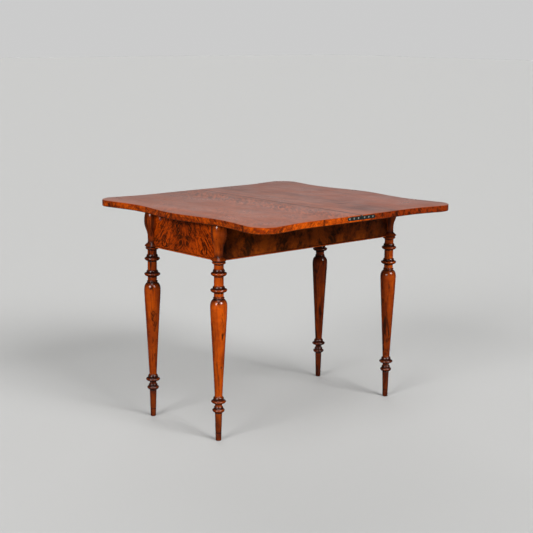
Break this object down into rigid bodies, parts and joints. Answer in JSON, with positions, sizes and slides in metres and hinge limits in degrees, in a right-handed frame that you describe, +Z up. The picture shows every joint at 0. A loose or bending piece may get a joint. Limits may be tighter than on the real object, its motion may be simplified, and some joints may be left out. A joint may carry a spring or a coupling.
{
  "type": "games table",
  "caption": "Swivel-top folding games table: serpentine leaves on edge hinges over a veneered stand with turned legs and a hidden card well.",
  "frame": {"origin": "on the floor, under the middle of the stand, which is also under the middle of the open top", "axes": "+X along the long side of the stand, -Y to the front, +Z up"},
  "size_m": [0.91, 0.88, 0.74],
  "materials": {
    "leg_wood": "turned birch stained orange brown, polished shellac",
    "apron_veneer": "figured root veneer, polished shellac",
    "leaf_veneer": "figured veneer with worn shellac polish",
    "carcass_wood": "planed softwood, unfinished",
    "hinge_steel": "aged iron, dull",
    "screw_steel": "filed steel, worn bright",
    "pivot_iron": "black iron"
  },
  "bodies": {
    "stand": {"leg_front_left": "leg_wood", "leg_front_right": "leg_wood", "leg_back_right": "leg_wood", "leg_back_left": "leg_wood", "apron_front": "apron_veneer", "apron_right": "apron_veneer", "apron_back": "apron_veneer", "apron_left": "apron_veneer", "pivot_rail": "carcass_wood", "well_divider": "carcass_wood", "well_floor": "carcass_wood", "well_ledge_front": "carcass_wood", "well_ledge_back": "carcass_wood", "well_ledge_side": "carcass_wood", "pivot_washer": "pivot_iron"},
    "lower_leaf": {"lower_leaf": "leaf_veneer", "pivot_plate": "pivot_iron", "pivot_nut": "pivot_iron", "pivot_plate_screw_1": "screw_steel", "pivot_plate_screw_2": "screw_steel", "pivot_plate_screw_3": "screw_steel", "pivot_plate_screw_4": "screw_steel", "swivel_stop": "carcass_wood", "swivel_stop_screw_1": "screw_steel", "swivel_stop_screw_2": "screw_steel", "lower_strap_front": "hinge_steel", "lower_strap_screw_front_1": "screw_steel", "lower_strap_screw_front_2": "screw_steel", "lower_strap_screw_front_3": "screw_steel", "lower_strap_back": "hinge_steel", "lower_strap_screw_back_1": "screw_steel", "lower_strap_screw_back_2": "screw_steel", "lower_strap_screw_back_3": "screw_steel"},
    "hinge_links": {"hinge_link_front": "hinge_steel", "hinge_pin_lower_front": "screw_steel", "hinge_pin_upper_front": "screw_steel", "hinge_link_back": "hinge_steel", "hinge_pin_lower_back": "screw_steel", "hinge_pin_upper_back": "screw_steel"},
    "upper_leaf": {"upper_leaf": "leaf_veneer", "upper_strap_front": "hinge_steel", "upper_strap_screw_front_1": "screw_steel", "upper_strap_screw_front_2": "screw_steel", "upper_strap_screw_front_3": "screw_steel", "upper_strap_back": "hinge_steel", "upper_strap_screw_back_1": "screw_steel", "upper_strap_screw_back_2": "screw_steel", "upper_strap_screw_back_3": "screw_steel"}
  },
  "joints": [
    {"name": "top_swivel", "type": "hinge", "parent": "stand", "child": "lower_leaf", "pos_m": [-0.11385, 0.11385, 0.718], "axis": [0, 0, 1], "range_deg": [0, 90]},
    {"name": "link_swing", "type": "hinge", "parent": "lower_leaf", "child": "hinge_links", "pos_m": [-0.0029, 0, 0.7375], "axis": [0, -1, 0], "range_deg": [0, 90]},
    {"name": "leaf_fold", "type": "hinge", "parent": "hinge_links", "child": "upper_leaf", "pos_m": [0.0029, 0, 0.7375], "axis": [0, -1, 0], "range_deg": [0, 90]}
  ]
}
